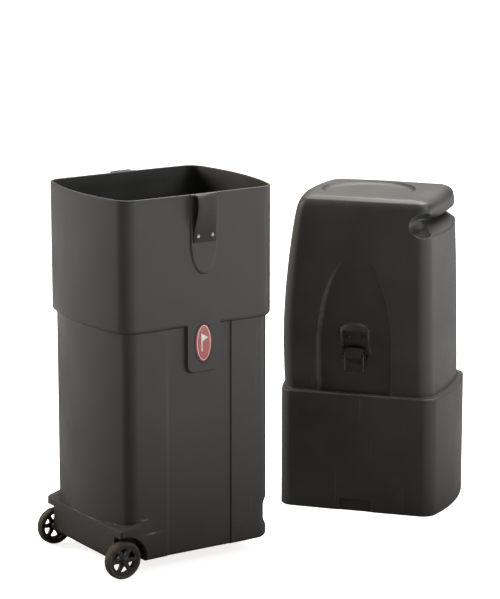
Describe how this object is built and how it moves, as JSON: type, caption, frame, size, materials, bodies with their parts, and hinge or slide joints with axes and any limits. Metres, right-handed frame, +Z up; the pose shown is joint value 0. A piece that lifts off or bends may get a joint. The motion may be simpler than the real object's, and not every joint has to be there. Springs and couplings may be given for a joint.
{
  "type": "golf travel case",
  "caption": "Two-part moulded golf travel case: tall wheeled base with strap loops and a telescoping lid with draw latches, lid standing beside it.",
  "frame": {"origin": "on the floor, at the middle of the rectangle that both halves take up, standing side by side", "axes": "+Z up; +X from the base towards the lid, along the broad faces of the base; -Y is the side of the base with the badge"},
  "size_m": [1.1702, 0.5332, 0.882],
  "materials": {
    "moulded_polyethylene": "rotomoulded black polyethylene, soft satin with faint mould texture",
    "black_nylon": "moulded black nylon, satin",
    "webbing": "woven black polypropylene webbing",
    "tyre_rubber": "warm grey-black rubber",
    "bright_steel": "zinc-plated steel",
    "black_steel": "black-painted steel",
    "badge_black": "gloss black plastic",
    "badge_red": "gloss red enamel",
    "badge_white": "gloss white enamel",
    "foam": "closed-cell grey foam"
  },
  "bodies": {
    "base": {"base_shell": "moulded_polyethylene", "badge_rim": "badge_black", "badge_face": "badge_red", "badge_mark": "badge_white", "base_foam_pad": "foam", "base_foot": "black_nylon", "axle": "bright_steel", "axle_front_cap": "black_nylon", "axle_front_spacer": "black_nylon", "strap_front_tail": "webbing", "strap_front_rivet_left": "bright_steel", "strap_front_washer_left": "bright_steel", "strap_front_rivet_right": "bright_steel", "strap_front_washer_right": "bright_steel", "axle_back_cap": "black_nylon", "axle_back_spacer": "black_nylon", "strap_back_tail": "webbing", "strap_back_rivet_left": "bright_steel", "strap_back_washer_left": "bright_steel", "strap_back_rivet_right": "bright_steel", "strap_back_washer_right": "bright_steel"},
    "lid": {"lid_shell": "moulded_polyethylene", "lid_foam_pad": "foam", "latch_front_rivet_left": "black_steel", "latch_front_rivet_right": "black_steel", "latch_front_plate": "black_steel", "latch_front_backing": "bright_steel", "latch_front_pin": "black_steel", "latch_back_rivet_left": "black_steel", "latch_back_rivet_right": "black_steel", "latch_back_plate": "black_steel", "latch_back_backing": "bright_steel", "latch_back_pin": "black_steel"},
    "wheel_front": {"wheel_front_tyre": "tyre_rubber", "wheel_front_hub": "black_nylon"},
    "strap_front": {"strap_front_loop": "webbing"},
    "latch_front_lever": {"latch_front_lever": "black_nylon"},
    "latch_front_bail": {"latch_front_bail": "black_steel"},
    "wheel_back": {"wheel_back_tyre": "tyre_rubber", "wheel_back_hub": "black_nylon"},
    "strap_back": {"strap_back_loop": "webbing"},
    "latch_back_lever": {"latch_back_lever": "black_nylon"},
    "latch_back_bail": {"latch_back_bail": "black_steel"}
  },
  "joints": [
    {"name": "lid_lift", "type": "slide", "parent": "base", "child": "lid", "axis": [0, 0, 1], "range_m": [0, 0.9]},
    {"name": "wheel_front_spin", "type": "hinge", "parent": "base", "child": "wheel_front", "pos_m": [-0.5406, -0.2276, 0.0445], "axis": [0, 1, 0], "continuous": true},
    {"name": "strap_front_bend", "type": "hinge", "parent": "base", "child": "strap_front", "pos_m": [-0.3306, -0.2546, 0.797], "axis": [1, 0, 0], "range_deg": [0, 100]},
    {"name": "latch_front_lever_swing", "type": "hinge", "parent": "lid", "child": "latch_front_lever", "pos_m": [0.216, -0.07407, 0.39], "axis": [0.6347, -0.7727, 0], "range_deg": [0, 115]},
    {"name": "latch_front_bail_swing", "type": "hinge", "parent": "latch_front_lever", "child": "latch_front_bail", "pos_m": [0.21214, -0.07724, 0.402], "axis": [0.6347, -0.7727, 0], "range_deg": [-115, 0]},
    {"name": "wheel_back_spin", "type": "hinge", "parent": "base", "child": "wheel_back", "pos_m": [-0.5406, 0.0924, 0.0445], "axis": [0, 1, 0], "continuous": true},
    {"name": "strap_back_bend", "type": "hinge", "parent": "base", "child": "strap_back", "pos_m": [-0.3306, 0.1194, 0.797], "axis": [-1, 0, 0], "range_deg": [0, 100]},
    {"name": "latch_back_lever_swing", "type": "hinge", "parent": "lid", "child": "latch_back_lever", "pos_m": [0.45864, 0.12523, 0.39], "axis": [-0.6347, 0.7727, 0], "range_deg": [0, 115]},
    {"name": "latch_back_bail_swing", "type": "hinge", "parent": "latch_back_lever", "child": "latch_back_bail", "pos_m": [0.4625, 0.12841, 0.402], "axis": [-0.6347, 0.7727, 0], "range_deg": [-115, 0]}
  ],
  "couplings": [
    {"joint": "latch_front_bail_swing", "follows": "latch_front_lever_swing", "ratio": -1},
    {"joint": "latch_back_bail_swing", "follows": "latch_back_lever_swing", "ratio": -1}
  ]
}
